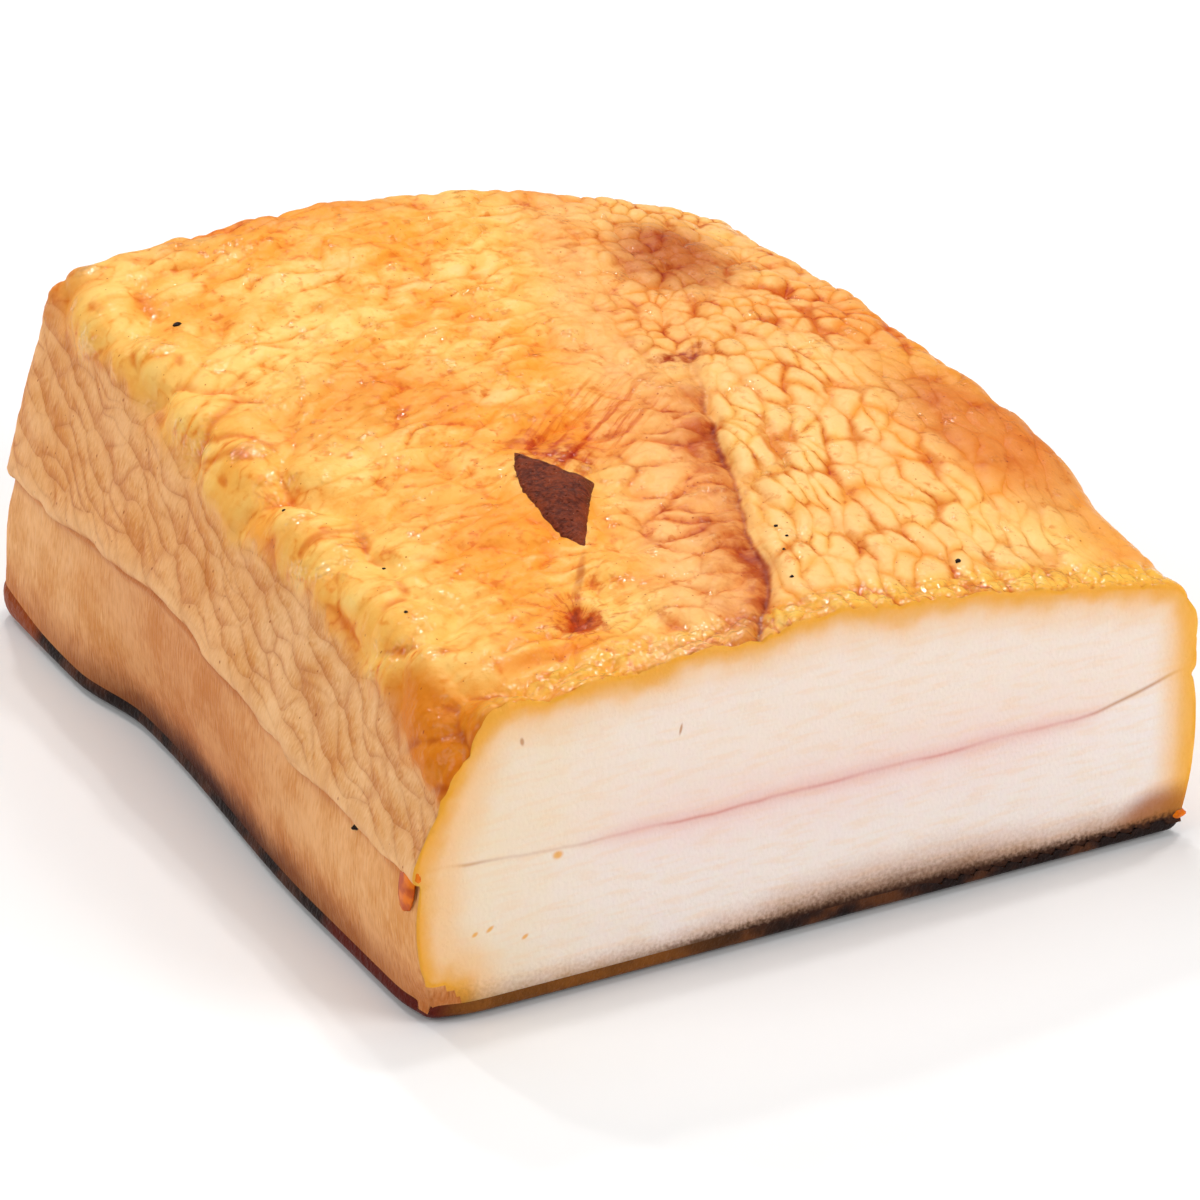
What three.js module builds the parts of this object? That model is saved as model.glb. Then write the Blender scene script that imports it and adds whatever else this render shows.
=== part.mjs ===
// A slab of cured and smoked pork back fat (lardo), lying on its rind.
// One end is a fresh knife cut; the top and the other walls carry the smoked skin of the fat.
// Millimetres, +Z up. X runs across the cut face, Y from the cut face to the back.
import * as THREE from "three";

// Driving sizes of the slab.
const WIDTH = 140; // across the cut face
const LENGTH = 166; // from the cut face to the back wall
const BLOCK_HEIGHT = 56; // height of the plain block before its top is shaped

// Crown of the top: the line along which the slab is thickest, with a low hump at its back end.
const CROWN_FRONT = { x: 72, z: 55.5 };
const CROWN_BACK = { x: 50, z: 66.4 };
const BACK_HUMP = { x: 60, width: 30, length: 40, rise: 1.2 };
const LEFT_DROP = { front: 4.3, back: 5 };
const RIGHT_DROP = { middle: 1.8, back: 17, power: 2.7, frontDip: 7.5, dipStart: 14, dipEnd: 50 };
const RIGHT_FALL_POWER = { front: 1.5, back: 2.8 };

// Rounded shoulders. The cut face meets every wall at a sharp edge.
const SHOULDER = { left: 3, right: 8 };
const BACK_CURVE = { depth: 9, start: 80, reach: 100 }; // the back wall bends forward towards the right

// Seam: the thin membrane between the two layers of fat, which shows round the walls.
const SEAM = { height: 26.5, leftRise: 4, leftRiseAt: 100, leftRiseWidth: 36, rightRise: 3.5, fade: 30 };
const SEAM_ROW_GAP = 1.2;

// Left wall: plumb in the lower layer, leaning in above the seam, with its foot pulled in once.
const UPPER_LEAN = { front: 11.6, back: 10.4, power: 1.15 };
const SEAM_X = { front: -1.4, back: 0.6 };
const LOWER_BULGE = 0.8;
const FOOT_X = { front: 0.9, back: -0.4 };
const FOOT_NOTCH = { depth: 3.4, start: 40, deep: 108, end: 112, out: 133 };
const RIGHT_TUCK = { depth: 2.6, height: 14 };
const RIGHT_BULGE = 1.2;

// Rind: the skin under the lower layer. Its edge stands proud and curls up at the back left corner.
const RIND = { thickness: 2.3, proud: 0.7, edge: 1.2, undercut: 2.4, corner: 3.4, cornerReach: 13 };
const RIND_NEAR_CORNER = { pull: 1.6, reach: 5 }; // worn round at the front left

// Relief of the top: broad lumps on the left, long lobules right of a fold that crosses the slab.
const FOLD = { x: 61.5, slope: 0.37, step: 0.9, valley: 1.1, width: 4, end: 118, fade: 30 };
const WANDER = { reach: 6, length: 21 }; // the rows of lumps wander sideways
const CREASE_SHARE = 0.6; // share of a lobule's width that slopes into its creases
const MEAN_LOBULE = 0.65;
const LUMPS = { size: 13, depth: 1.1, seed: 1 };
const LONG_LOBULES = { width: 8.5, length: 22, depth: 1.1, seed: 5 };
const LEAN_CHIP = { x: 51.5, y: 52.5, halfWidth: 7, halfLength: 16.5, slant: 0.2, rise: 1.3, flat: 0.6 };
const PIT = { x: 37, y: 18.6, radius: 5, depth: 1.3 };
const FRONT_LEDGE = { y: 5, width: 2.8, depth: 0.9, startX: 6, endX: 46, fade: 10 };

// Relief of the walls: folds on the left that fall towards the cut, rounder lumps on the others.
const WALL_FOLDS = { width: 12, length: 25, depth: 1, slope: 0.5, seed: 9 };
const WALL_LUMPS = { size: 14, depth: 0.9, seed: 13 };
const LOWER_LAYER_SHARE = 0.35; // the lower layer has this share of the upper layer's relief
const SEAM_STEP = { depth: 0.7, fade: 13 }; // the upper layer overhangs the lower one on the left
const SEAM_GROOVE = { depth: 0.9, width: 1.6 };

// Grid of the surface: cells across and along, and rows down each layer of the walls.
const CELLS_X = 46;
const CELLS_Y = 52;
const UPPER_ROWS = 6;
const LOWER_ROWS = 5;

const lerp = THREE.MathUtils.lerp;
const clamp = THREE.MathUtils.clamp;
const smooth = (low, high, value) => THREE.MathUtils.smoothstep(value, low, high);
const hill = (distance, width) => Math.exp(-((distance / width) ** 2));

// Repeatable random number from 0 to 1 for a cell of a grid.
function chance(i, j, seed) {
  const mixed = Math.sin(i * 127.1 + j * 311.7 + seed * 74.7) * 43758.5453;
  return mixed - Math.floor(mixed);
}

// Fat lobules: a rise on the back of each lobule and a fall in the creases between them.
function lobule(a, b, seed) {
  const cellA = Math.floor(a);
  const cellB = Math.floor(b);
  let nearest = Infinity;
  let second = Infinity;
  for (let i = cellA - 1; i <= cellA + 1; i++) {
    for (let j = cellB - 1; j <= cellB + 1; j++) {
      const middleA = i + chance(i, j, seed);
      const middleB = j + chance(i, j, seed + 1);
      const distance = Math.hypot(a - middleA, b - middleB);
      second = Math.min(second, Math.max(distance, nearest));
      nearest = Math.min(nearest, distance);
    }
  }
  return smooth(0, CREASE_SHARE, second - nearest) - MEAN_LOBULE;
}

// Height of the top over the board, before its relief.
function topHeight(x, y) {
  const along = y / LENGTH;
  const crownX = lerp(CROWN_FRONT.x, CROWN_BACK.x, along);
  const crownZ = lerp(CROWN_FRONT.z, CROWN_BACK.z, along);
  const hump = BACK_HUMP.rise * hill(x - BACK_HUMP.x, BACK_HUMP.width) * hill(y - LENGTH, BACK_HUMP.length);
  if (x < crownX) {
    const drop = lerp(LEFT_DROP.front, LEFT_DROP.back, along);
    return crownZ + hump - drop * ((crownX - x) / crownX) ** 2;
  }
  const rise = (RIGHT_DROP.back - RIGHT_DROP.middle) * along ** RIGHT_DROP.power;
  const frontDip = RIGHT_DROP.frontDip * (1 - smooth(RIGHT_DROP.dipStart, RIGHT_DROP.dipEnd, y));
  const drop = RIGHT_DROP.middle + rise + frontDip;
  const power = lerp(RIGHT_FALL_POWER.front, RIGHT_FALL_POWER.back, along);
  return crownZ + hump - drop * ((x - crownX) / (WIDTH - crownX)) ** power;
}

// Height of the seam where it meets the walls.
function seamHeight(x, y) {
  const onLeft = 1 - smooth(0, SEAM.fade, x);
  const onRight = smooth(WIDTH - SEAM.fade, WIDTH, x);
  const leftRise = SEAM.leftRise * hill(y - SEAM.leftRiseAt, SEAM.leftRiseWidth);
  return SEAM.height + onLeft * leftRise + onRight * SEAM.rightRise;
}

// Where the left wall stands at a height.
function leftWall(y, height, top) {
  const along = y / LENGTH;
  const seam = seamHeight(0, y);
  const seamX = lerp(SEAM_X.front, SEAM_X.back, along);
  if (height > seam) {
    const lean = lerp(UPPER_LEAN.front, UPPER_LEAN.back, along);
    return seamX + lean * ((height - seam) / (top - seam)) ** UPPER_LEAN.power;
  }
  const notchIn = smooth(FOOT_NOTCH.start, FOOT_NOTCH.deep, y);
  const notchOut = 1 - smooth(FOOT_NOTCH.end, FOOT_NOTCH.out, y);
  const foot = lerp(FOOT_X.front, FOOT_X.back, along) + FOOT_NOTCH.depth * notchIn * notchOut;
  const up = height / seam;
  return lerp(foot, seamX, smooth(0, 1, up)) - LOWER_BULGE * Math.sin(Math.PI * up);
}

// Where the right wall stands at a height.
function rightWall(height, top) {
  const tuck = RIGHT_TUCK.depth * Math.max(0, 1 - height / RIGHT_TUCK.height) ** 2;
  return WIDTH + RIGHT_BULGE * Math.sin((Math.PI * height) / top) - tuck;
}

function topRelief(x, y) {
  const fromFold = x - FOLD.x - FOLD.slope * y;
  const folded = 1 - smooth(FOLD.end - FOLD.fade, FOLD.end, y);
  const right = smooth(-FOLD.width, FOLD.width, fromFold);
  const u = x + WANDER.reach * Math.sin(y / WANDER.length);
  const v = y + WANDER.reach * Math.sin(x / WANDER.length);
  const lumps = LUMPS.depth * lobule(u / LUMPS.size, v / LUMPS.size, LUMPS.seed);
  const long = LONG_LOBULES;
  const longLobules = long.depth * lobule(u / long.width, v / long.length, long.seed);
  const step = folded * FOLD.step * hill(Math.max(0, fromFold), FOLD.fade) * right;
  const valley = folded * FOLD.valley * hill(fromFold, FOLD.width);

  const chipX = x - LEAN_CHIP.x - LEAN_CHIP.slant * (y - LEAN_CHIP.y);
  const fromChip = Math.abs(chipX) / LEAN_CHIP.halfWidth + Math.abs(y - LEAN_CHIP.y) / LEAN_CHIP.halfLength;
  const chip = LEAN_CHIP.rise * (1 - smooth(LEAN_CHIP.flat, 1, fromChip));
  const pit = PIT.depth * hill(Math.hypot(x - PIT.x, y - PIT.y), PIT.radius);
  const ledgeStart = smooth(FRONT_LEDGE.startX, FRONT_LEDGE.startX + FRONT_LEDGE.fade, x);
  const ledgeEnd = 1 - smooth(FRONT_LEDGE.endX - FRONT_LEDGE.fade, FRONT_LEDGE.endX, x);
  const ledge = FRONT_LEDGE.depth * hill(y - FRONT_LEDGE.y, FRONT_LEDGE.width) * ledgeStart * ledgeEnd;
  return lerp(lumps, longLobules, right) + step - valley + chip - pit - ledge;
}

function leftRelief(y, height, overSeam) {
  const across = (height - WALL_FOLDS.slope * y) / WALL_FOLDS.width;
  const along = (y + WALL_FOLDS.slope * height) / WALL_FOLDS.length;
  const upper = smooth(-SEAM_ROW_GAP, SEAM_ROW_GAP, overSeam);
  const folds = WALL_FOLDS.depth * lobule(across, along, WALL_FOLDS.seed) * lerp(LOWER_LAYER_SHARE, 1, upper);
  return folds + SEAM_STEP.depth * (2 * upper - 1) * hill(overSeam, SEAM_STEP.fade);
}

function farRelief(along, height, overSeam) {
  const upper = smooth(-SEAM_ROW_GAP, SEAM_ROW_GAP, overSeam);
  const lumps = lobule(along / WALL_LUMPS.size, height / WALL_LUMPS.size, WALL_LUMPS.seed);
  const groove = SEAM_GROOVE.depth * hill(overSeam, SEAM_GROOVE.width);
  return WALL_LUMPS.depth * lumps * lerp(LOWER_LAYER_SHARE, 1, upper) - groove;
}

// How tall the rind's edge is: taller where it curls up at the back left corner.
function rindHeight(x, y) {
  return RIND.thickness + RIND.corner * hill(Math.hypot(x, LENGTH - y), RIND.cornerReach);
}

// A point of the plain block at a height over the board, bent to the slab's form.
function slabPoint(x, y, height) {
  const blockZ = (BLOCK_HEIGHT * height) / topHeight(x, y);
  const radius = lerp(SHOULDER.left, SHOULDER.right, x / WIDTH);
  const core = new THREE.Vector3(
    clamp(x, radius, WIDTH - radius),
    Math.min(y, LENGTH - radius),
    Math.min(blockZ, BLOCK_HEIGHT - radius),
  );
  const out = new THREE.Vector3(x, y, blockZ).sub(core);
  const reach = Math.max(Math.abs(out.x), Math.abs(out.y), Math.abs(out.z));
  const place = core.clone();
  if (reach > 0) place.addScaledVector(out.normalize(), reach);

  const share = place.z / BLOCK_HEIGHT;
  const top = topHeight(x, y);
  const left = leftWall(place.y, share * top, top);
  place.x = lerp(left, rightWall(share * top, top), place.x / WIDTH);
  const bend = BACK_CURVE.depth * Math.max(0, (place.x - BACK_CURVE.start) / (WIDTH - BACK_CURVE.start)) ** 2;
  place.y -= bend * smooth(LENGTH - BACK_CURVE.reach, LENGTH, place.y);
  place.z = share * topHeight(clamp(place.x, 0, WIDTH), place.y);

  const overSeam = place.z - seamHeight(x, y);
  const side = out.x < 0 ? leftRelief(place.y, place.z, overSeam) : farRelief(place.y, place.z, overSeam);
  const back = farRelief(place.x + LENGTH, place.z, overSeam);
  const relief = out.x ** 2 * side + out.y ** 2 * back + out.z ** 2 * topRelief(place.x, place.y);
  const onRind = height <= rindHeight(x, y) + RIND.edge ? 1 : 0;
  const lip = height <= rindHeight(x, y) ? RIND.proud : 0;
  place.addScaledVector(out, lerp(relief, lip, onRind));
  const pull = onRind * RIND_NEAR_CORNER.pull * hill(Math.hypot(x, y), RIND_NEAR_CORNER.reach);
  place.x += pull;
  place.y += pull;
  if (height === 0) {
    place.x += (RIND.undercut * (WIDTH / 2 - place.x)) / (WIDTH / 2);
    place.y += (RIND.undercut * (LENGTH / 2 - place.y)) / (LENGTH / 2);
  }
  return place;
}

// Heights of the rows below the top's edge: upper layer, seam, lower layer, rind.
function rowHeights(x, y) {
  const seam = seamHeight(x, y);
  const rind = rindHeight(x, y);
  const heights = [];
  for (let row = 1; row <= UPPER_ROWS; row++) {
    heights.push(lerp(topHeight(x, y), seam + SEAM_ROW_GAP, row / UPPER_ROWS));
  }
  heights.push(seam);
  for (let row = 0; row < LOWER_ROWS; row++) {
    heights.push(lerp(seam - SEAM_ROW_GAP, rind + RIND.edge, row / (LOWER_ROWS - 1)));
  }
  heights.push(rind, RIND.edge, 0);
  return heights;
}

const points = [];
const addPoint = (x, y, height) => points.push(slabPoint(x, y, height)) - 1;
const gridX = (i) => (WIDTH * i) / CELLS_X;
const gridY = (j) => (LENGTH * j) / CELLS_Y;

// The top: a grid of points.
const topIndex = [];
for (let j = 0; j <= CELLS_Y; j++) {
  const row = [];
  for (let i = 0; i <= CELLS_X; i++) {
    row.push(addPoint(gridX(i), gridY(j), topHeight(gridX(i), gridY(j))));
  }
  topIndex.push(row);
}

// The way round the block, seen from above: front, right, back, left.
const ring = [];
for (let i = 0; i < CELLS_X; i++) ring.push([i, 0]);
for (let j = 0; j < CELLS_Y; j++) ring.push([CELLS_X, j]);
for (let i = CELLS_X; i > 0; i--) ring.push([i, CELLS_Y]);
for (let j = CELLS_Y; j > 0; j--) ring.push([0, j]);

// The walls: a column of points below each point of the ring.
const columns = ring.map(([i, j]) => {
  const [x, y] = [gridX(i), gridY(j)];
  return [topIndex[j][i], ...rowHeights(x, y).map((height) => addPoint(x, y, height))];
});

const triangles = [];
for (let j = 0; j < CELLS_Y; j++) {
  for (let i = 0; i < CELLS_X; i++) {
    const [a, b] = [topIndex[j][i], topIndex[j][i + 1]];
    const [d, c] = [topIndex[j + 1][i], topIndex[j + 1][i + 1]];
    triangles.push(a, b, c, a, c, d);
  }
}
columns.forEach((column, p) => {
  const next = columns[(p + 1) % columns.length];
  for (let row = 1; row < column.length; row++) {
    const [a, b] = [column[row - 1], next[row - 1]];
    const [d, c] = [column[row], next[row]];
    triangles.push(a, d, c, a, c, b);
  }
});

// The underside: the rind's flat face, fanned from its middle.
const rim = columns.map((column) => column[column.length - 1]);
const middle = points.push(new THREE.Vector3(WIDTH / 2, LENGTH / 2, 0)) - 1;
rim.forEach((index, p) => triangles.push(middle, rim[(p + 1) % rim.length], index));

const geometry = new THREE.BufferGeometry().setFromPoints(points);
geometry.setIndex(triangles);
geometry.computeBoundingBox();
const centre = geometry.boundingBox.getCenter(new THREE.Vector3());
geometry.translate(-centre.x, -centre.y, -geometry.boundingBox.min.z);
geometry.computeVertexNormals();

const smokedFat = new THREE.MeshStandardMaterial({ color: 0xe8a95a, roughness: 0.42, metalness: 0 });
const slab = new THREE.Mesh(geometry, smokedFat);
slab.name = "lardo_slab";

const part = new THREE.Group();
part.add(slab);

export default part;
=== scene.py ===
import math
from types import SimpleNamespace

import bmesh
import bpy
from mathutils import Matrix, Vector, noise
from mathutils.bvhtree import BVHTree
from mathutils.geometry import delaunay_2d_cdt, intersect_point_line


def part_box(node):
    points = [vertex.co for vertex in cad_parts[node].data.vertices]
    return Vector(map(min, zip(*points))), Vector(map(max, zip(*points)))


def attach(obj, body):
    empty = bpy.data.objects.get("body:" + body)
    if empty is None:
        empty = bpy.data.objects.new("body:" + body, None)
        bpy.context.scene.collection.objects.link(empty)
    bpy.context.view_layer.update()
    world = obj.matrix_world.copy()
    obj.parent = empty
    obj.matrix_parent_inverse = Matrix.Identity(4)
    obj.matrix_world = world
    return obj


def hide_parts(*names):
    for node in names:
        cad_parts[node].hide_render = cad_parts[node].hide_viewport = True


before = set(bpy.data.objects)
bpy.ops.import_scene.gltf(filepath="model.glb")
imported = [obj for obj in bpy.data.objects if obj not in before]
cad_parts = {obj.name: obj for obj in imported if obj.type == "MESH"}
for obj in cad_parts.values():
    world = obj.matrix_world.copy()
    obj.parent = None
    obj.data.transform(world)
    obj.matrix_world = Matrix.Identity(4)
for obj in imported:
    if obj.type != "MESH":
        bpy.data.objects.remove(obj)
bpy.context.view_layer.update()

# Back fat: two layers of firm fat grown together, cured, hung in smoke and then cut once across.
# The fat is white inside. Smoke has turned its skin golden on top and tan on the walls.
# The body is the solid's own mesh, subdivided, and Geometry Nodes raise the lobules of its skin.
MM = 0.001
MERGE_DISTANCE = 0.00001
RIND_RINGS = 3  # rings of faces round the underside that belong to the rind
SUBDIVISIONS = 2
FACES_DOWN = -0.99
CUT_RIM_CREASE = 0.45
FLAT_CUT = 0.00005  # points of the cut lie this close to its plane

slab_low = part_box("lardo_slab")[0]


def merged_slab():
    """A copy of the solid as quads, with the faces of its rind marked by material index 1."""
    mesh = bmesh.new()
    mesh.from_mesh(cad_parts["lardo_slab"].data)
    bmesh.ops.remove_doubles(mesh, verts=mesh.verts, dist=MERGE_DISTANCE)
    lowest = [face for face in mesh.faces if face.calc_center_median().z < MERGE_DISTANCE]
    under = [face for face in lowest if face.normal.z < FACES_DOWN]
    bmesh.ops.dissolve_faces(mesh, faces=under)
    bmesh.ops.join_triangles(
        mesh, faces=mesh.faces, angle_face_threshold=math.pi, angle_shape_threshold=math.pi
    )
    mesh.faces.ensure_lookup_table()
    rind_faces = {max(mesh.faces, key=lambda face: len(face.verts))}
    for _ in range(RIND_RINGS):
        rind_faces |= {near for face in rind_faces for edge in face.edges for near in edge.link_faces}
    for face in mesh.faces:
        face.smooth = True
        face.material_index = 1 if face in rind_faces else 0
    return mesh


def keep_layer(mesh, index):
    """Cuts the mesh down to the faces of one material index and closes it with a flat cap."""
    crease = mesh.edges.layers.float.new("crease_edge")
    other = [face for face in mesh.faces if face.material_index != index]
    bmesh.ops.delete(mesh, geom=other, context="FACES")
    open_edges = [edge for edge in mesh.edges if edge.is_boundary]
    for edge in open_edges:
        edge[crease] = 1.0
        edge.smooth = False
    bmesh.ops.contextual_create(mesh, geom=open_edges)
    bmesh.ops.recalc_face_normals(mesh, faces=mesh.faces)
    for face in mesh.faces:
        face.material_index = 0
    return crease


def link_piece(name, mesh):
    """Turns a bmesh into a named object of the scene."""
    data = bpy.data.meshes.new(name)
    mesh.to_mesh(data)
    mesh.free()
    piece = bpy.data.objects.new(name, data)
    bpy.context.scene.collection.objects.link(piece)
    return piece


def subdivide(piece):
    """Smooths the solid's facets."""
    rounding = piece.modifiers.new("rounding", "SUBSURF")
    rounding.levels = SUBDIVISIONS
    rounding.render_levels = SUBDIVISIONS
    rounding.use_limit_surface = False


def bake_modifiers(piece):
    """Replaces the piece's mesh by what its modifiers make of it."""
    depsgraph = bpy.context.evaluated_depsgraph_get()
    made = bpy.data.meshes.new_from_object(
        piece.evaluated_get(depsgraph), preserve_all_data_layers=True, depsgraph=depsgraph
    )
    old = piece.data
    piece.modifiers.clear()
    piece.data = made
    made.name = piece.name
    bpy.data.meshes.remove(old)


fat_mesh = merged_slab()
rim_crease = keep_layer(fat_mesh, 0)
for edge in fat_mesh.edges:
    on_cut = [all(abs(v.co.y - slab_low.y) < FLAT_CUT for v in face.verts) for face in edge.link_faces]
    if any(on_cut) and not all(on_cut):
        edge[rim_crease] = max(edge[rim_crease], CUT_RIM_CREASE)
back_fat = link_piece("back_fat", fat_mesh)
subdivide(back_fat)


class Field:
    """A value that varies over a piece: a socket of a node tree, on which arithmetic adds Math nodes."""

    def __init__(self, tree, socket=None):
        self.tree = tree
        self.socket = socket

    def node(self, kind, settings, sockets, output=0):
        """Adds a node of any type: first its settings, then the values or links of its sockets."""
        made = self.tree.nodes.new(kind)
        for name, value in settings.items():
            setattr(made, name, value)
        for key, value in sockets.items():
            if isinstance(value, Field):
                self.tree.links.new(value.socket, made.inputs[key])
            else:
                made.inputs[key].default_value = value
        return Field(self.tree, made.outputs[output] if made.outputs else None)

    def math(self, operation, first, second=0.0):
        return self.node("ShaderNodeMath", {"operation": operation}, {0: first, 1: second})

    def __add__(self, other):
        return self.math("ADD", self, other)

    __radd__ = __add__

    def __mul__(self, other):
        return self.math("MULTIPLY", self, other)

    __rmul__ = __mul__

    def __sub__(self, other):
        return self.math("SUBTRACT", self, other)

    def __rsub__(self, other):
        return self.math("SUBTRACT", other, self)

    def __truediv__(self, other):
        return self.math("DIVIDE", self, other)

    def __pow__(self, power):
        return self.math("POWER", self, power)

    def larger(self, other):
        return self.math("MAXIMUM", self, other)

    def smaller(self, other):
        return self.math("MINIMUM", self, other)

    def hill(self, width):
        """One where this field is nought, falling away on both sides."""
        return self.math("POWER", 1 / math.e, (self / width) ** 2)

    def smooth(self, low, high):
        """A soft step from nought at low to one at high."""
        sockets = {"Value": self, "From Min": low, "From Max": high}
        return self.node("ShaderNodeMapRange", {"interpolation_type": "SMOOTHSTEP"}, sockets, "Result")

    def parts(self):
        """The three numbers of a vector."""
        first = self.node("ShaderNodeSeparateXYZ", {}, {0: self})
        return [Field(self.tree, socket) for socket in first.socket.node.outputs]

    def vector(self, x, y, z=0.0):
        return self.node("ShaderNodeCombineXYZ", {}, {0: x, 1: y, 2: z})

    def drift(self, size, detail=2.0, rough=0.5):
        """A soft random value around a half, with patches of this size."""
        sockets = {"Vector": self, "Scale": 1 / size, "Detail": detail, "Roughness": rough}
        return self.node("ShaderNodeTexNoise", {}, sockets)

    def cells(self, feature, output):
        """One output of a random net of cells one unit across."""
        settings = {"feature": feature, "voronoi_dimensions": "2D"}
        return self.node("ShaderNodeTexVoronoi", settings, {"Vector": self, "Scale": 1.0}, output)

    def other(self, output):
        """Another output of the node that this field comes from."""
        return Field(self.tree, self.socket.node.outputs[output])

    def spots(self, share, radius):
        """Small round spots in a share of the cells of a random net."""
        nearest = self.cells("F1", "Distance")
        chance = nearest.other("Color").parts()
        inside = (nearest / (chance[1] + 0.3)).smooth(radius, radius * 0.4)
        return inside * chance[0].smooth(share, share - 0.03)

    def net(self):
        """How far inside a cell of the net this place is: nought on the net's lines."""
        return self.cells("DISTANCE_TO_EDGE", "Distance")

    def shingle(self):
        """How far across its cell this place is, from about minus a half to a half."""
        return self.parts()[0] - self.cells("F1", "Position").parts()[0]

    def pillow(self, rim):
        """A rounded rise from the lines of a net, level from the given distance inwards."""
        inside = (self / rim).smaller(1.0)
        return 1 - (1 - inside) ** 2

    def line(self, width):
        """One on the lines of a net, nought from the given distance inwards."""
        return self.smooth(width, 0.0)

    def patch(self, middle, reach, turn=0.0, core=0.3):
        """One in the core of an oval patch, nought outside it. It turns by degrees from across to along."""
        sockets = {"Vector": self, "Location": (*middle, 0), "Rotation": (0, 0, math.radians(turn)),
                   "Scale": (*reach, 1.0)}
        inside = self.node("ShaderNodeMapping", {"vector_type": "TEXTURE"}, sockets)
        outwards = self.node("ShaderNodeVectorMath", {"operation": "LENGTH"}, {0: inside}, "Value")
        return outwards.smooth(1.0, core)

    def glaze(self, under, clear):
        """A colour seen through a clear one, with this field as the share of the second."""
        settings = {"data_type": "RGBA", "blend_type": "MULTIPLY"}
        return self.node("ShaderNodeMix", settings, {0: self, 6: under, 7: clear}, 2)

    def tint(self, under, over):
        """A colour from under to over, with this field as the share of the second."""
        return self.node("ShaderNodeMix", {"data_type": "RGBA"}, {0: self, 6: under, 7: over}, 2)


# Places on the skin, and the sizes of its lobules. The fold turns off just before the cut face.
FOLD = {"across": 65.0, "slope": 0.355, "kink": 3.4, "kink_reach": 8.0}
ROW_SLOPE = 0.2  # the long lobules run nearly along the slab
SWAY = {"size": 19.0, "reach": 14.0}
GAP = 8.0
LOBULE = {"width": 3.9, "long": 11.0, "short": 4.8, "turns_short": 80.0, "over": 16.0}
PAD = (11.0, 5.5)
SMALL_LOBULE = (3.2, 4.4)
KNOB = (10.0, 7.0)
LUMP = 13.0
WALL_FOLD = (3.5, 10.0)
WALL_FOLD_SLOPE = 0.3
PIT = (38.6, 18.6)
SEAM = {"height": 26.5, "left_rise": 5.5, "left_at": 100.0, "left_width": 40.0, "right_rise": 3.5}
SHOULDER_LINE = {"height": 44.6, "slope": 0.088, "dip": 5.0, "dip_reach": 22.0}  # the golden skin ends here
# Where each region of the skin begins, and where it is full.
LOBED_BACK = (66, 98)
MIDDLE = (-27, -12)
RIGHT_EDGE = (110, 128)
RIGHT_EDGE_BACK = (92, 62)
LEFT_SHOULDER = (30, 19)
FRONT_STRIP = (10, 5)
BACK_AND_RIGHT = (20, 50)


def skin_regions(p):
    """Adds where the regions of the skin are, and how far its creases wander."""
    sockets = {"Vector": p.place, "Scale": 1 / SWAY["size"], "Detail": 2.5, "Roughness": 0.5}
    sway = p.place.node("ShaderNodeTexNoise", {}, sockets, 1)
    p.sway_u, p.sway_v, p.sway_w = [part - 0.5 for part in sway.parts()]
    p.swayed_u = p.u + p.sway_u * SWAY["reach"]
    p.swayed_v = p.v + p.sway_v * SWAY["reach"]
    p.swayed_w = p.w + p.sway_w * SWAY["reach"]
    p.gaps = p.place.drift(GAP).smooth(0.42, 0.62)
    dip = SHOULDER_LINE["dip"] * p.v.hill(SHOULDER_LINE["dip_reach"])
    p.over_line = p.w - SHOULDER_LINE["height"] - SHOULDER_LINE["slope"] * p.v + dip + p.sway_u * 10
    ragged = p.over_line + (p.place.drift(4.0) - 0.5) * 6
    p.golden = p.up.smooth(0.5, 0.78).larger(ragged.smooth(-3.4, 1.6))
    kink = FOLD["kink"] * p.v.hill(FOLD["kink_reach"])
    p.from_fold = p.u - FOLD["across"] - FOLD["slope"] * p.v + kink + p.sway_v * 7
    at_back = (p.v + p.sway_u * 40).smooth(*LOBED_BACK)
    p.lobed = p.from_fold.smooth(-1.5, 3.0).larger(p.from_fold.smooth(-30, 2) * at_back)
    p.middle = p.from_fold.smooth(*MIDDLE) * (1 - p.lobed)
    p.edge = (p.u + p.sway_v * 12).smooth(*RIGHT_EDGE) * p.v.smooth(*RIGHT_EDGE_BACK)
    p.shoulder = (p.u + p.sway_v * 10).smooth(*LEFT_SHOULDER)
    p.front = (p.v + p.sway_u * 6).smooth(*FRONT_STRIP)
    flat = p.u.vector(p.swayed_u, p.swayed_v)
    settings = {"operation": "DISTANCE"}
    p.from_pit = flat.node("ShaderNodeVectorMath", settings, {0: flat, 1: (*PIT, 0)}, "Value")


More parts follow.
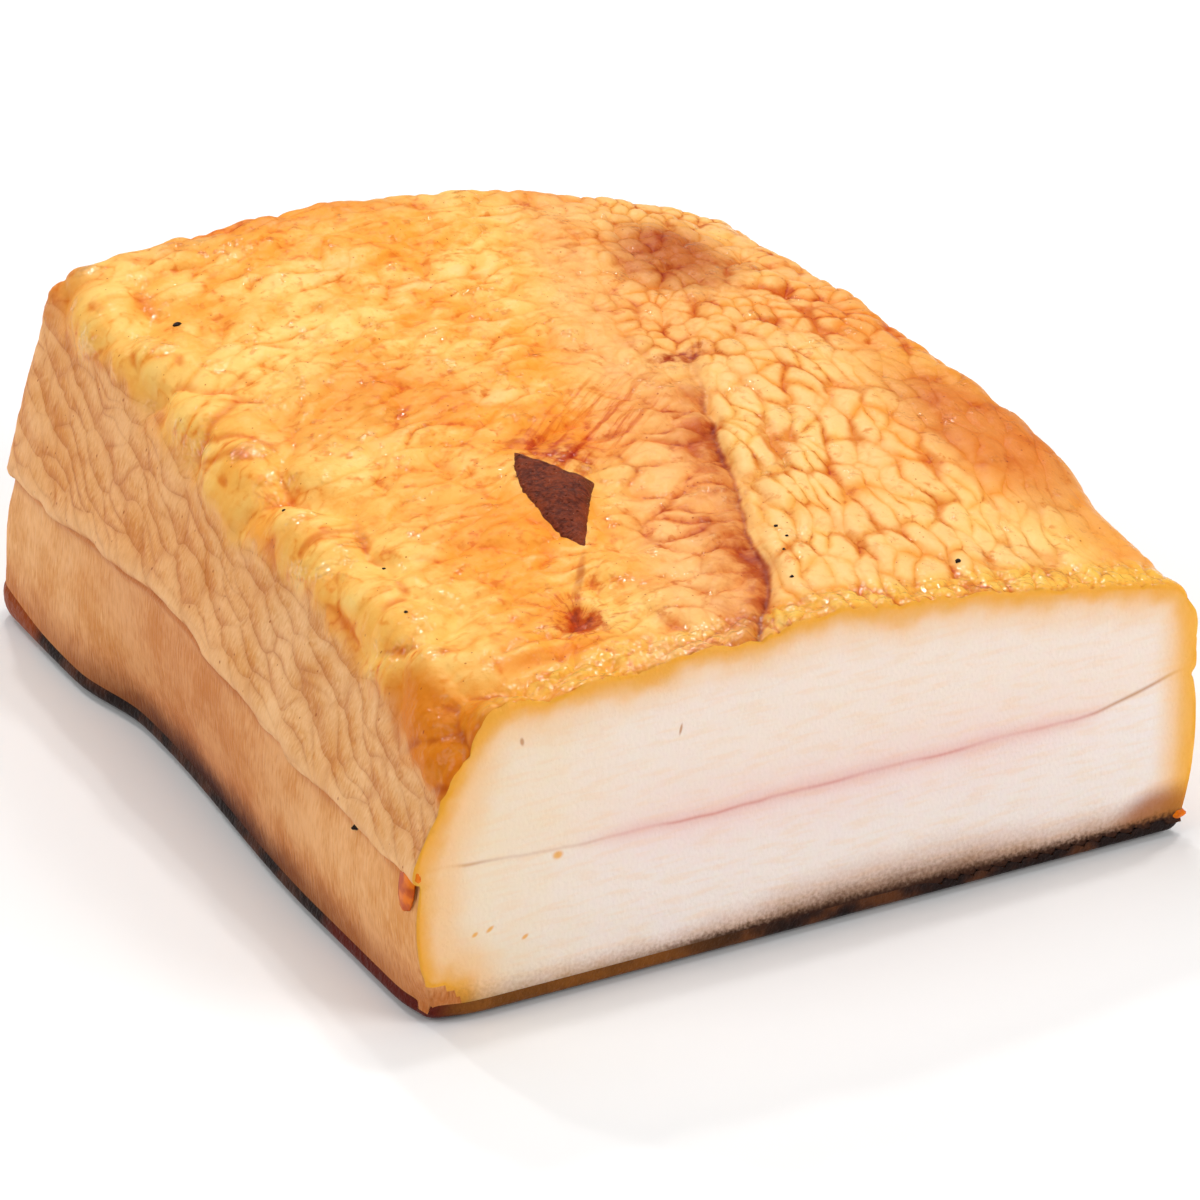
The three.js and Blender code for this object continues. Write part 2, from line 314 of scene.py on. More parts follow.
def top_creases(p):
    """Adds the creases of the top: long lobules right of the fold, lumps left of it, small ones on both."""
    row_u = p.u * 0.25 + p.swayed_u * 0.75
    row_v = p.v * 0.25 + p.swayed_v * 0.75
    across = row_u - ROW_SLOPE * row_v
    along = row_v + ROW_SLOPE * row_u
    beyond = p.swayed_v - LOBULE["turns_short"]
    shorter = (1 / LOBULE["short"] - 1 / LOBULE["long"]) / 2
    shortened = shorter * (beyond + (beyond ** 2 + LOBULE["over"] ** 2) ** 0.5)
    lobules = p.u.vector(across / LOBULE["width"], along / LOBULE["long"] + shortened)
    p.lobules = lobules.net() + 0.14 * p.gaps
    p.junctions = lobules.cells("F1", "Distance")
    p.small = p.u.vector(across / SMALL_LOBULE[0], along / SMALL_LOBULE[1]).net() + 0.1 * (1 - p.gaps)
    p.pads = p.u.vector(p.swayed_u / PAD[0], (p.swayed_v - 0.2 * p.swayed_u) / PAD[1]).net() + 0.12 * p.gaps
    p.knobs = p.u.vector(p.swayed_u / KNOB[0], p.swayed_v / KNOB[1]).net() + 0.12 * p.gaps
    lumps = p.u.vector(p.swayed_v / LUMP, (p.swayed_u + p.w) / LUMP)
    p.lumps = lumps.net() + 0.25 * p.gaps
    p.puffs = lumps.cells("F1", "Distance")


def wall_creases(p):
    """Adds the scale-like folds of the walls, which fall towards the cut, and the seam of the layers."""
    p.round_walls = p.v + p.u * p.u.smooth(*BACK_AND_RIGHT)
    fold_v = p.round_walls + (p.swayed_v - p.v) * 0.65
    fold_w = p.w * 0.35 + p.swayed_w * 0.65
    across = fold_w - WALL_FOLD_SLOPE * fold_v
    along = fold_v + WALL_FOLD_SLOPE * fold_w
    scales = p.u.vector(across / WALL_FOLD[0], along / WALL_FOLD[1])
    p.folds = scales.net() + 0.12 * p.gaps
    p.fold_tilt = scales.shingle()
    left_rise = SEAM["left_rise"] * (p.v - SEAM["left_at"]).hill(SEAM["left_width"]) * p.u.smooth(30, 0)
    right_rise = SEAM["right_rise"] * p.u.smooth(110, 140)
    p.over_seam = p.w - SEAM["height"] - left_rise - right_rise + 0.3 * (p.swayed_v - p.v)
    p.upper = p.over_seam.smooth(-0.6, 0.6)


# The relief tree: its inputs are depths in millimetres and the finishes.
RELIEF_DEPTHS = {
    "Lobule depth": 0.8,
    "Pad depth": 0.7,
    "Knob depth": 0.8,
    "Small lobule depth": 0.3,
    "Swell depth": 1.6,
    "Bump depth": 1.2,
    "Shoulder lump depth": 3.0,
    "Rim lump depth": 0.7,
    "Fold depth": 1.0,
    "Pit depth": 1.0,
    "Wall fold depth": 0.22,
    "Seam depth": 0.6,
}
STORED_VALUES = ("golden", "lobed", "middle", "edge", "shoulder", "front",
                 "over_line", "from_fold", "from_pit", "gaps", "skin_depth")
FINISH_INPUTS = ("Top finish", "Shoulder finish", "Wall finish", "Cut finish")


def relief_tree():
    """Builds the tree that stores where each point of the skin is and then raises its relief."""
    tree = bpy.data.node_groups.new("fat_relief", "GeometryNodeTree")
    tree.interface.new_socket("Geometry", in_out="INPUT", socket_type="NodeSocketGeometry")
    for name in RELIEF_DEPTHS:
        tree.interface.new_socket(name, in_out="INPUT", socket_type="NodeSocketFloat")
    for name in FINISH_INPUTS:
        tree.interface.new_socket(name, in_out="INPUT", socket_type="NodeSocketMaterial")
    tree.interface.new_socket("Geometry", in_out="OUTPUT", socket_type="NodeSocketGeometry")
    start = Field(tree)
    given = start.node("NodeGroupInput", {}, {}).socket.node

    def sized(name):
        return Field(tree, given.outputs[name])

    def stored(geometry, name, value, kind):
        settings = {"data_type": kind, "domain": "POINT"}
        sockets = {"Geometry": geometry, "Name": name, "Value": value}
        return start.node("GeometryNodeStoreNamedAttribute", settings, sockets)

    def finished(geometry, faces, finish):
        sockets = {"Geometry": geometry, "Selection": faces, "Material": sized(finish)}
        return start.node("GeometryNodeSetMaterial", {}, sockets)

    position = start.node("GeometryNodeInputPosition", {}, {})
    facing = start.node("GeometryNodeInputNormal", {}, {})
    moved = start.node("ShaderNodeVectorMath", {"operation": "SUBTRACT"}, {0: position, 1: tuple(slab_low)})
    place = start.node("ShaderNodeVectorMath", {"operation": "SCALE"}, {0: moved, "Scale": 1 / MM})
    u, v, w = place.parts()
    east, south, up = facing.parts()
    p = SimpleNamespace(place=place, u=u, v=v, w=w, up=up)
    skin_regions(p)
    top_creases(p)
    wall_creases(p)
    on_cut = v.smooth(0.45, 0.25) * south.smooth(-0.5, -0.7)
    under = up.smooth(-0.5, -0.7)

    geometry = Field(tree, given.outputs["Geometry"])
    skin_faces = start.math("LESS_THAN", on_cut + under, 0.5)
    skin = start.node("GeometryNodeSeparateGeometry", {"domain": "FACE"}, {0: geometry, 1: skin_faces})
    to_skin = start.node("GeometryNodeProximity", {"target_element": "FACES"}, {0: skin}, "Distance")
    p.skin_depth = to_skin / MM
    geometry = stored(geometry, "rest", place, "FLOAT_VECTOR")
    geometry = stored(geometry, "swayed", start.vector(p.swayed_u, p.swayed_v, p.swayed_w), "FLOAT_VECTOR")
    for name in STORED_VALUES:
        geometry = stored(geometry, name, getattr(p, name), "FLOAT")
    geometry = finished(geometry, True, "Wall finish")
    geometry = finished(geometry, start.math("GREATER_THAN", p.golden, 0.001), "Shoulder finish")
    geometry = finished(geometry, start.math("GREATER_THAN", p.golden, 0.999), "Top finish")
    geometry = finished(geometry, start.math("GREATER_THAN", on_cut, 0.5), "Cut finish")

    lobed = p.lobed * (1 - 0.6 * p.edge)
    small = p.small.pillow(0.32) - 0.6
    domes = 0.4 * p.lobules.pillow(0.25) - 1.3 * p.junctions ** 2
    lobules = lobed * sized("Lobule depth") * domes
    rim_lumps = p.front * sized("Rim lump depth") * small
    small = (p.lobed + p.middle) * sized("Small lobule depth") * small + rim_lumps
    swell = sized("Swell depth") * (place.drift(14.0) - 0.5)
    swell = swell + (1 - 0.7 * p.shoulder) * sized("Bump depth") * (place.drift(5.0) - 0.5)
    lumps = p.shoulder * sized("Shoulder lump depth") * (0.5 - 1.4 * p.puffs ** 2)
    pads = (1 - p.middle) * (1 - 0.7 * p.shoulder) * (p.pads.pillow(0.3) - 0.7)
    lumps = lumps + swell + sized("Pad depth") * pads
    lumps = (lumps + sized("Knob depth") * p.middle * (p.knobs.pillow(0.35) - 0.6)) * (1 - p.lobed)
    fold = p.from_fold.hill(1.2) * p.v.smooth(105, 70) * sized("Fold depth")
    pit = p.from_pit.hill(2.6) * sized("Pit depth")
    on_top = lobules + small + lumps - fold - pit
    scales = p.fold_tilt + 0.6 * p.folds.pillow(0.25) - 0.4
    folds = sized("Wall fold depth") * scales * (0.2 + 0.8 * p.upper)
    seam = sized("Seam depth") * (p.over_seam.hill(4.0) * (2 * p.upper - 1) - p.over_seam.hill(0.7))
    height = on_top * p.golden + (folds + seam) * (1 - p.golden)
    height = height * w.smooth(6, 11) * (1 - under)

    outward = start.vector(east, south * v.smooth(0.5, 5.0), up)
    offset = start.node("ShaderNodeVectorMath", {"operation": "SCALE"}, {0: outward, "Scale": height * MM})
    geometry = start.node("GeometryNodeSetPosition", {}, {"Geometry": geometry, "Offset": offset})
    geometry = start.node("GeometryNodeRealizeInstances", {}, {0: geometry})
    start.node("NodeGroupOutput", {}, {0: geometry})
    return tree


def colour(code):
    """A linear colour from the six hex digits of an sRGB one."""
    channels = [int(code[place:place + 2], 16) / 255 for place in (0, 2, 4)]
    linear = [c / 12.92 if c <= 0.04045 else ((c + 0.055) / 1.055) ** 2.4 for c in channels]
    return (*linear, 1.0)


# Colours of the smoked skin, of the walls and of the fresh cut.
GOLD = colour("f9a538")
PALE_GOLD = colour("fed074")
PEACH = colour("fec880")
YELLOW_GOLD = colour("fdba52")
ROSY = colour("f2a45c")
RIM_YELLOW = colour("fec244")
TAN = colour("e69e55")
PALE_TAN = colour("fcc68c")
WHITE_FAT = colour("fde8da")
LOWER_FAT = colour("fdece3")
PINK_FAT = colour("fadad4")
CREAM_FAT = colour("fae0ba")
SMOKED_PEACH = colour("fdca92")
SMOKED_RIM = colour("f4aa34")
SEAM_PINK = colour("e2968a")
SEAM_BROWN = colour("c88a58")
# Colours of the cut's foot, painted shade: brown, partly the fat's own colour near the rind, then near
# black.
FOOT_BROWN = colour("b0702e")
CUT_FOOT_SHADE = colour("381a0a")
CUT_STAIN = colour("a4500e")
# Clear colours of the smoke and of the grease, which darken what lies under them.
DEEPER = colour("fce2bc")
AMBER = colour("f0c274")
DEEP_AMBER = colour("e0a24e")
BROWN = colour("e0ab84")
CREASE = colour("c4875a")
DARK_CREASE = colour("96552f")
PIT_RED = colour("cc7a36")
CORNER_AMBER = colour("dc7802")
TAN_CREASE = colour("d6a480")
FOOT_SHADE = colour("5c4438")
DULL = {"Specular IOR Level": 0.12}
GREASY = {"Specular IOR Level": 0.5, "Roughness": 0.11}
GLOW = {"Subsurface Radius": (1.0, 0.5, 0.25), "Subsurface Scale": 0.0025}


def new_finish(name):
    """An empty material and the start of its tree."""
    finish = bpy.data.materials.new(name)
    finish.use_nodes = True
    finish.node_tree.nodes.clear()
    return finish, Field(finish.node_tree)


def surface(start, sockets):
    """Ends a material's tree in a Principled surface."""
    shader = start.node("ShaderNodeBsdfPrincipled", {}, sockets)
    start.node("ShaderNodeOutputMaterial", {}, {"Surface": shader})


def relief_normal(start, height, depth=0.7, strength=0.8):
    """The normal of a surface with a fine relief, whose height is in units of the depth in millimetres."""
    sockets = {"Strength": strength, "Distance": depth * MM, "Height": height}
    return start.node("ShaderNodeBump", {}, sockets, "Normal")


def stored_skin(start):
    """Reads what the relief tree stored at each point of the skin."""
    def read(name, output):
        return start.node("ShaderNodeAttribute", {"attribute_name": name}, {}, output)

    p = SimpleNamespace(place=read("rest", "Vector"))
    p.u, p.v, p.w = p.place.parts()
    p.swayed_u, p.swayed_v, p.swayed_w = read("swayed", "Vector").parts()
    p.flat = start.vector(0.6 * p.u + 0.4 * p.swayed_u, 0.6 * p.v + 0.4 * p.swayed_v)
    for name in STORED_VALUES:
        setattr(p, name, read(name, "Fac"))
    return p


# Marks along the left wall, the smoke's browning and the painted shade at its foot: where they are darkest
# and how far they reach.
BROWNED = {"along": 85, "reach": 38}
SHADED_FOOT = {"along": 82, "reach": 50}


def wall_colour(p):
    """Tan, with scale-like folds above the seam, fine upright fibres, red dots and a foot darkened by
    painted shade.
    """
    wall_creases(p)
    p.fibres = p.u.vector(p.u / 0.5, p.v / 0.5, p.w / 2.4).drift(1.0, 3.0)
    mottle = p.place.drift(12.0, 4.0, 0.6)
    wall = (p.fibres * 0.4 + mottle * 0.6).smooth(0.36, 0.64).tint(TAN, PALE_TAN)
    browned = (p.v - BROWNED["along"]).hill(BROWNED["reach"])
    wall = (browned * (1 - p.upper) * 0.5).glaze(wall, TAN_CREASE)
    folded = 0.1 + 0.9 * p.upper
    # Painted highlight on the upper side of each fold and painted shade on its lower side.
    wall = (p.fold_tilt.smooth(-0.1, 0.4) * folded * 0.45).tint(wall, PALE_TAN)
    wall = (p.fold_tilt.smooth(0.0, -0.5) * folded * 0.35).glaze(wall, TAN_CREASE)
    # Lines in the creases of the folds: partly their own darker tan, partly painted shade.
    wall = (p.folds.line(0.26) * folded * 0.3).glaze(wall, TAN_CREASE)
    wall = (p.folds.line(0.06) * folded * mottle.smooth(0.4, 0.6) * 0.3).glaze(wall, TAN_CREASE)
    wall = (p.upper * p.v.smooth(50, 90) * 0.35).glaze(wall, DEEPER)
    # Painted shadow under the overhanging edge of the upper layer at the seam, and a painted highlight
    # along the edge just above it.
    wall = (p.over_seam.smooth(-2.6, -0.2) * p.over_seam.smooth(0.7, 0.1) * 0.6).glaze(wall, TAN_CREASE)
    wall = (p.over_seam.smooth(0.2, 1.2) * p.over_seam.smooth(4.5, 1.5) * 0.5).tint(wall, PALE_TAN)
    wall = ((1 - p.upper) * (0.1 + 0.4 * mottle)).glaze(wall, DEEPER)
    dots = p.u.vector(p.round_walls / 3.0, p.w / 3.6).spots(0.2, 0.08)
    wall = (dots * p.upper * 0.8).glaze(wall, CREASE)
    # Painted shade: the wall darkens towards its foot, most strongly in the middle of its length.
    low = p.w + (mottle - 0.5) * 4 + (p.fibres - 0.5) * 3
    wall = (low.smooth(16, 4) * 0.7).glaze(wall, TAN_CREASE)
    foot_shaded = (p.v - SHADED_FOOT["along"]).hill(SHADED_FOOT["reach"])
    return (low.smooth(11.5, 3.5) * foot_shaded).glaze(wall, FOOT_SHADE)


def wall_height(p):
    """Height of the fibres and folds of the walls."""
    folded = p.folds.pillow(0.25) * 0.15 + p.fold_tilt * 0.3
    return p.fibres * 0.8 + folded * (0.1 + 0.9 * p.upper)


def tan_wall():
    """Finish of the walls below the golden skin."""
    finish, start = new_finish("tan_wall")
    p = stored_skin(start)
    base = wall_colour(p)
    normal = relief_normal(start, wall_height(p))
    surface(start, {"Base Color": base, "Roughness": 0.5, "Normal": normal, **DULL})
    return finish


# Stains of the smoke on the top: middle, reach, turn in degrees, colour, faint share and strong share.
STAINS = {
    "back_right": ((114, 127), (16, 24), -20, CREASE, 0.8, 1.0),
    "back_core": ((116, 130), (9, 13), -20, BROWN, 0.5, 1.0),
    "back_far_right": ((112, 118), (38, 52), 0, AMBER, 0.2, 0.6),
    "back_rim": ((70, 163), (75, 11), 0, BROWN, 0.1, 0.5),
    "right_edge": ((130, 47), (16, 36), 8, BROWN, 0.8, 1.0),
    "right_slope": ((138, 78), (20, 50), 0, AMBER, 0.6, 1.0),
    "fold_foot": ((66, 16), (8, 14), -28, BROWN, 0.0, 0.6),
    "front_right": ((137, 12), (14, 14), 0, AMBER, 0.6, 1.0),
    "front_ledge": ((29, 11), (11, 2.6), -8, AMBER, 0.6, 1.0),
    "left_patch": ((40, 96), (30, 20), 0, AMBER, 0.4, 0.8),
    "chip_tail": ((43.6, 28), (12, 1.0), 62, CREASE, 0.3, 0.7),
    "chip_left": ((38, 58), (18, 26), 0, DEEPER, 0.3, 0.9),
    "back_left": ((7, 161), (16, 12), -10, BROWN, 0.5, 1.0),
}
# Other patches of the top: middle, reach and turn in degrees.
CHIP_HALO = ((69, 72), (29, 13), 40)
CHIP_BED = ((59, 66.5), (12, 7), -66)
RED_STREAK = ((95.5, 89.5), (9, 2.6), 8)


def golden_colour(p):
    """Pale lobules between amber creases, golden where there are none, with the stains of the smoke."""
    top_creases(p)
    mottle = p.place.drift(9.0, 5.0, 0.64)
    patchy = mottle.smooth(0.42, 0.6)
    p.flecks = p.place.drift(2.4, 3.0, 0.6)
    uneven = p.flecks.smooth(0.38, 0.62)
    left = 1 - p.lobed
    top = (p.place.drift(26.0) * 0.5 + mottle * 0.5).smooth(0.4, 0.6).tint(GOLD, PALE_GOLD)
    # Paler peach patches on the left of the top: partly the skin's paler tone, partly painted sheen.
    top = (left * mottle.smooth(0.53, 0.68) * 0.6).tint(top, PEACH)
    top = (p.shoulder * 0.45).tint(top, YELLOW_GOLD)
    # Paler gold on the tops of the shoulder's lumps: partly the fat's own tone, partly painted highlight.
    top = (p.shoulder * p.lumps.pillow(0.4) * (0.2 + 0.5 * patchy)).tint(top, PALE_GOLD)
    top = (p.shoulder * p.over_line.smooth(5, 0) * 0.4).glaze(top, AMBER)
    top = (p.middle * 0.6).tint(top, ROSY)
    # Peach on the tops of the lobules: partly their own paler colour, partly painted highlight.
    top = (p.lobed * p.lobules.pillow(0.45) * (1 - 0.5 * p.edge) * 0.9).tint(top, PEACH)
    for middle, reach, turn, stain, faint, strong in STAINS.values():
        top = (p.flat.patch(middle, reach, turn) * (faint + (strong - faint) * patchy)).glaze(top, stain)
    top = (p.front * 0.8).tint(top, RIM_YELLOW)

    lobed = p.lobed * (1 - 0.6 * p.edge)
    top = (lobed * p.lobules.line(0.26) * (0.3 + 0.4 * patchy)).glaze(top, AMBER)
    top = (lobed * p.lobules.line(0.08) * uneven * (0.2 + 0.6 * patchy)).glaze(top, DEEP_AMBER)
    top = (lobed * p.junctions.smooth(0.4, 0.72) * (0.2 + 0.7 * patchy)).glaze(top, DEEP_AMBER)
    top = (lobed * p.small.line(0.2) * uneven * 0.35).glaze(top, AMBER)
    veins = (p.place.drift(12.0, 3.0, 0.55) - 0.5).hill(0.018)
    top = (left * veins * uneven * 0.7).glaze(top, AMBER)
    top = (left * p.pads.line(0.3) * (0.3 + 0.7 * patchy)).glaze(top, DEEPER)
    top = (left * p.pads.line(0.12) * uneven * (0.2 + 0.7 * patchy)).glaze(top, AMBER)
    plain = left * (1 - patchy) * (1 - 0.6 * p.shoulder)
    top = (plain * p.flecks.smooth(0.5, 0.64) * 0.5).glaze(top, AMBER)
    top = (left * p.shoulder * p.lumps.line(0.16) * 0.7).glaze(top, DEEP_AMBER)
    top = (p.middle * p.knobs.pillow(0.4) * 0.6).tint(top, PEACH)
    top = (p.middle * p.knobs.line(0.2) * (0.2 + 0.6 * patchy)).glaze(top, BROWN)
    top = (p.middle * p.knobs.line(0.08) * uneven * 0.6).glaze(top, CREASE)
    by_fold = p.from_fold.smooth(-13, -1) * p.from_fold.smooth(0.8, -0.4) * p.v.smooth(95, 60)
    top = (p.middle * p.small.line(0.16) * patchy * (0.4 - 0.4 * by_fold)).glaze(top, BROWN)
    top = (p.front * p.small.line(0.2) * 0.6).glaze(top, AMBER)
    top = (p.flecks.smooth(0.58, 0.68) * patchy * (0.6 - 0.4 * p.shoulder)).glaze(top, DEEP_AMBER)

    top = (by_fold * (0.3 + 0.7 * patchy)).glaze(top, BROWN)
    top = (by_fold * 0.3).glaze(top, AMBER)
    top = (p.from_fold.smooth(-6, 0) * by_fold * (0.3 + 0.4 * patchy)).glaze(top, CREASE)
    wavering = p.from_fold + (p.flecks - 0.5) * 1.2
    top = (wavering.hill(0.5) * p.v.smooth(95, 60) * (0.5 + 0.4 * patchy)).glaze(top, CREASE)
    halo = p.flat.patch(*CHIP_HALO)
    streaks = p.u.vector(0.77 * p.u + 0.64 * p.v, 12 * (0.77 * p.v - 0.64 * p.u)).drift(22.0, 4.0, 0.6)
    top = (halo * (0.35 + 0.5 * streaks.smooth(0.42, 0.6))).glaze(top, AMBER)
    top = (halo * streaks.smooth(0.49, 0.65) * 0.8).glaze(top, DEEP_AMBER)
    bed = p.u.vector(p.u, p.v).patch(*CHIP_BED)
    top = (bed * (0.4 + 0.6 * uneven)).glaze(top, DEEP_AMBER)
    top = (bed * uneven * 0.7).glaze(top, BROWN)
    red_streak = p.u.vector(p.u, p.v).patch(*RED_STREAK)
    top = (red_streak * (0.4 + 0.6 * uneven)).glaze(top, PIT_RED)
    top = (red_streak * uneven * 0.8).glaze(top, CREASE)
    p.corner = (p.v + (mottle - 0.5) * 18).smooth(30, 16) * p.w.smooth(55, 50) * p.u.smooth(70, 50)
    top = (p.corner * (0.9 + 0.1 * uneven)).tint(top, CORNER_AMBER)
    top = (p.corner * p.lumps.line(0.16) * 0.6).glaze(top, CREASE)
    angle = p.u.math("ARCTAN2", p.v - PIT[1], p.u - PIT[0])
    rays = p.u.vector(angle * 2.4, p.from_pit / 14).drift(0.3, 3.0)
    top = (rays.smooth(0.52, 0.66) * p.from_pit.smooth(17, 4) * 0.8).glaze(top, BROWN)
    ragged = p.from_pit + (p.flecks - 0.5) * 12
    top = ragged.smooth(5.4, 2.0).glaze(top, PIT_RED)
    top = (ragged.smooth(2.2, 0.6) * 0.6).glaze(top, DARK_CREASE)
    top = (p.v.smooth(1.6, 0.5) * 0.4).glaze(top, AMBER)
    pores = p.u.vector(p.u / 2.1, p.v / 2.1).spots(0.2, 0.09)
    return (pores * 0.9).glaze(top, CREASE)


def golden_skin(name, meets_wall):
    """Finish of the top, and of the shoulder where it runs out into the wall's."""
    finish, start = new_finish(name)
    p = stored_skin(start)
    base = golden_colour(p)
    fine = p.place.drift(1.6, 1.0)
    clots = p.place.drift(7.0, 2.0).smooth(0.52, 0.64)
    wet = (p.front * 0.9).larger(p.shoulder * clots * 0.9).larger(clots * p.flecks.smooth(0.5, 0.6) * 0.7)
    wet = wet * (1 - 0.7 * p.corner)
    lobes = p.lobed * (0.5 * p.lobules.pillow(0.2) - p.junctions ** 2)
    lobes = lobes + (1 - p.lobed - 0.7 * p.shoulder) * (1 - 0.5 * p.middle) * p.pads.pillow(0.25)
    height = p.flecks * 0.45 + lobes * 0.4 + (fine - 0.5) * (0.3 + 1.5 * wet)
    if meets_wall:
        base = p.golden.tint(wall_colour(p), base)
        height = height * p.golden + wall_height(p) * (1 - p.golden)
        wet = wet * p.golden
    look = {"Base Color": base, "Normal": relief_normal(start, height)}
    dull = start.node("ShaderNodeBsdfPrincipled", {}, {**look, "Roughness": 0.42, **DULL})
    greasy = start.node("ShaderNodeBsdfPrincipled", {}, {**look, **GREASY})
    skin = start.node("ShaderNodeMixShader", {}, {0: wet, 1: dull, 2: greasy})
    start.node("ShaderNodeOutputMaterial", {}, {"Surface": skin})
    return finish


# The cut: where its seam runs, how high its foot is darkened, by painted shade and partly by the fat's own
# browning near the rind, and its small marks.
CUT_SEAM = {"height": 26.3, "left_rise": 2.2, "right_rise": 4.6}
DARK_FOOT = {"left": 8.0, "middle": 5.5, "right": -3.0}
CUT_MARKS = [  # middle, reach, turn in degrees and colour
    ((19.1, 47.0), (0.5, 1.0), 10, SEAM_BROWN),
    ((46.8, 42.4), (0.35, 1.4), -12, SEAM_BROWN),
    ((25.2, 25.7), (1.3, 1.0), 0, SMOKED_RIM),
    ((10.7, 15.3), (0.8, 0.5), 30, SMOKED_RIM),
    ((13.3, 15.6), (1.1, 0.5), 35, SMOKED_RIM),
    ((19.4, 12.7), (0.9, 0.5), 30, SMOKED_RIM),
    ((135.0, 4.5), (11.0, 7.0), 15, CUT_STAIN),
]


def fresh_cut():
    """Finish of the cut: white fat, smoked near the skin, with a pink membrane between its two layers;
    painted shade darkens its foot.
    """
    finish, start = new_finish("fresh_cut")
    p = stored_skin(start)
    u, w, depth = p.u, p.w, p.skin_depth
    mottle = p.place.drift(7.0, 3.0)
    broad = p.place.drift(16.0)
    grain = p.place.drift(0.7, 2.0)
    fibres = start.vector(u / 7.0, w / 1.3, 0.0).drift(1.0, 3.0)
    seam_rise = CUT_SEAM["left_rise"] * u.smooth(28, 2) + CUT_SEAM["right_rise"] * u.smooth(118, 142)
    from_seam = w - CUT_SEAM["height"] - seam_rise + (broad - 0.5) * 2.4
    inside = from_seam.smooth(1.5, -2.5).tint(WHITE_FAT, LOWER_FAT)
    inside = ((u + (mottle - 0.5) * 24).smooth(46, 4) * 0.7).tint(inside, CREAM_FAT)
    pinked = from_seam.hill(6.5) * u.smooth(22, 50) * u.smooth(138, 100)
    inside = (pinked * (0.4 + 0.5 * mottle)).tint(inside, PINK_FAT)
    inside = (fibres.smooth(0.45, 0.7) * 0.2).tint(inside, SMOKED_PEACH)
    reddish = u.smooth(26, 40) * u.smooth(128, 118)
    line = from_seam.hill(0.35) * (0.25 + 0.5 * broad.smooth(0.36, 0.6))
    inside = line.tint(inside, reddish.tint(SEAM_BROWN, SEAM_PINK))
    inside = (from_seam.hill(1.6) * reddish * 0.3).tint(inside, SEAM_PINK)
    shallow = depth + (mottle - 0.5) * 5
    inside = ((shallow - 3.5 * u.smooth(22, 4)).smooth(9.5, 0.5) * 0.85).tint(inside, SMOKED_PEACH)
    inside = (shallow.smooth(4.6, 0.2) * 0.9).tint(inside, SMOKED_RIM)
    inside = ((u + (mottle - 0.5) * 6).smooth(134, 143) * w.smooth(52, 44) * 0.8).tint(inside, YELLOW_GOLD)
    inside = (depth.smooth(0.9, 0.3) * mottle.smooth(0.3, 0.6)).tint(inside, SMOKED_RIM)
    for middle, reach, turn, mark in CUT_MARKS:
        inside = (start.vector(u, w).patch(middle, reach, turn) * 0.8).tint(inside, mark)
    # Painted shade: the foot darkens to brown and then near black towards the rind; the brown is partly the
    # fat's own colour there.
    height_up = w + (grain - 0.5) * 3 + (mottle - 0.5) * 2
    foot_more = DARK_FOOT["middle"] * u.smooth(40, 80) + DARK_FOOT["right"] * u.smooth(95, 120)
    shaded = height_up / (DARK_FOOT["left"] + foot_more)
    inside = (shaded.smooth(1.0, 0.15) * 0.85).tint(inside, FOOT_BROWN)
    foot_shade_share = 0.1 + 0.8 * u.smooth(35, 75) - 0.65 * u.smooth(85, 130)
    inside = (shaded.smooth(0.62, 0.2) * foot_shade_share).tint(inside, CUT_FOOT_SHADE)
    # Painted shade: a near-black band along the very bottom of the cut.
    inside = ((w + (grain - 0.5) * 2).smooth(5.2, 3.3) * u.smooth(30, 60)).tint(inside, CUT_FOOT_SHADE)
    surface(start, {"Base Color": inside, "Roughness": 0.45, "Subsurface Weight": 0.3, **GLOW, **DULL,
                    "Normal": relief_normal(start, grain * 0.3 + fibres * 0.3)})
    return finish


relief = back_fat.modifiers.new("relief", "NODES")
relief.node_group = relief_tree()
finishes = (golden_skin("golden_top", False), golden_skin("golden_shoulder", True), tan_wall(), fresh_cut())
relief_values = {**RELIEF_DEPTHS, **dict(zip(FINISH_INPUTS, finishes))}
for socket in relief.node_group.interface.items_tree:
    if socket.in_out == "INPUT" and socket.name in relief_values:
        relief[socket.identifier] = relief_values[socket.name]
bake_modifiers(back_fat)
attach(back_fat, "root")
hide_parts("lardo_slab")

# Lean chip: a scrap of dried lean meat that was left on the fat, dark mahogany and hard.
# It is a thin plate that follows the skin under it and is stuck to it by its own grease.
CHIP_OUTLINE = [(52.6, 68.0), (56.2, 61.2), (60.6, 54.6), (57.8, 50.4), (53.2, 43.0), (49.2, 36.4),
                (48.0, 41.6), (47.4, 47.6), (47.9, 52.5), (48.6, 58.0), (50.2, 63.4)]
CHIP_ACROSS = (46, 62)
CHIP_ALONG = (36, 69)
CHIP_STEP = 0.7
CHIP_THICKNESS = 1.0
CHIP_RIM = {"width": 0.5, "sunk": 0.2}
CHIP_SUNK = 0.8
ABOVE = 200.0
BESIDE = -100.0
DOWN = Vector((0, 0, -1))


